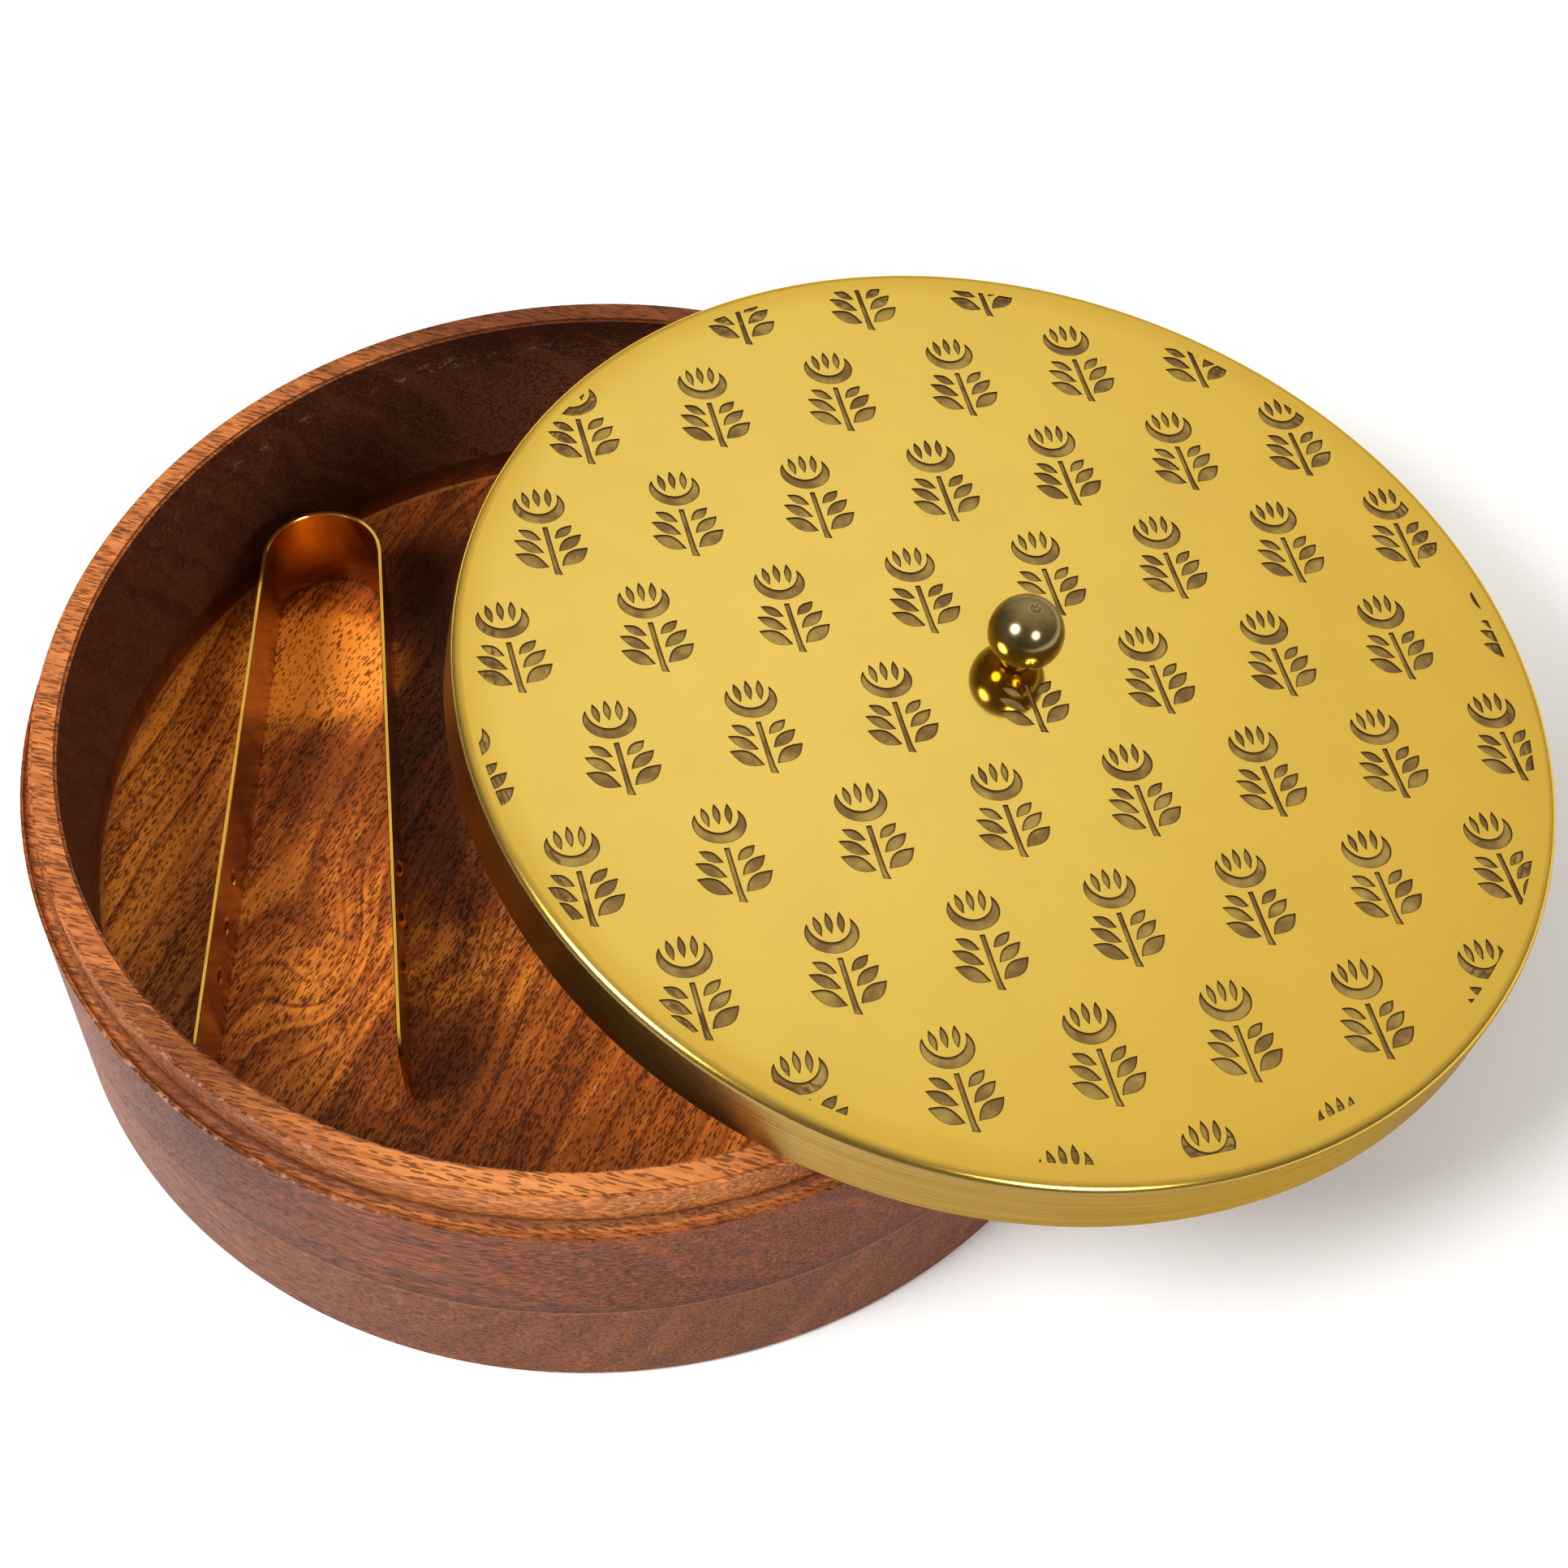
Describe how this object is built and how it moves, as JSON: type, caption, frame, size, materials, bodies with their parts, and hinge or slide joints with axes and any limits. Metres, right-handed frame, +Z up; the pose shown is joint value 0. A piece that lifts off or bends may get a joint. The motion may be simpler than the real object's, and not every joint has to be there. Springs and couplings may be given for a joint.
{
  "type": "wooden bread box with brass lid and tongs",
  "caption": "Round glued-up wooden box with a rebated rim, a flat brass lid with a ball knob left leaning on it, and brass strip tongs standing inside.",
  "frame": {"origin": "centre of the box's underside, on the surface it stands on", "axes": "+Z up out of the box, +X towards the side the lid has slid to, -Y towards the open tips of the tongs"},
  "size_m": [0.3385, 0.25, 0.1028],
  "materials": {
    "wood_upper": "lacquered red-brown hardwood",
    "wood_lower": "lacquered red-brown hardwood",
    "wood_floor": "lacquered orange-brown hardwood",
    "brass_lid": "polished, etched with a repeating flower",
    "brass_knob": "polished, darkened",
    "brass_tongs": "mirror polished",
    "steel_screw": "plain turned brass"
  },
  "bodies": {
    "box": {"upper_front_board": "wood_upper", "upper_left_board": "wood_upper", "upper_right_board": "wood_upper", "upper_back_left_board": "wood_upper", "upper_back_right_board": "wood_upper", "upper_back_board": "wood_upper", "lower_front_left_board": "wood_lower", "lower_left_board": "wood_lower", "lower_front_board": "wood_lower", "lower_mid_left_board": "wood_lower", "lower_mid_right_board": "wood_lower", "lower_back_left_board": "wood_lower", "lower_back_right_board": "wood_lower", "lower_back_board": "wood_lower", "floor_board_1": "wood_floor", "floor_board_2": "wood_floor", "floor_board_3": "wood_floor", "floor_board_4": "wood_floor", "floor_board_5": "wood_floor"},
    "lid": {"lid_pan": "brass_lid", "lid_knob": "brass_knob", "lid_screw": "steel_screw", "lid_washer": "steel_screw"},
    "tongs": {"tongs_bow": "brass_tongs"},
    "tongs_left": {"tongs_left_arm": "brass_tongs"},
    "tongs_right": {"tongs_right_arm": "brass_tongs"}
  },
  "joints": [
    {"name": "lid_lift", "type": "slide", "parent": "box", "child": "lid", "axis": [0, 0, 1], "range_m": [0, 0.12]},
    {"name": "tongs_lift", "type": "slide", "parent": "box", "child": "tongs", "axis": [0, 0, 1], "range_m": [0, 0.12]},
    {"name": "left_squeeze", "type": "hinge", "parent": "tongs", "child": "tongs_left", "pos_m": [-0.08078, 0.06243, 0.0348], "axis": [0, 0, 1], "range_deg": [0, 8.8], "stiffness_Nm_per_rad": 3},
    {"name": "right_squeeze", "type": "hinge", "parent": "tongs", "child": "tongs_right", "pos_m": [-0.05342, 0.06377, 0.0348], "axis": [0, 0, -1], "range_deg": [0, 8.8], "stiffness_Nm_per_rad": 3}
  ],
  "couplings": [
    {"joint": "right_squeeze", "follows": "left_squeeze", "ratio": 1}
  ]
}
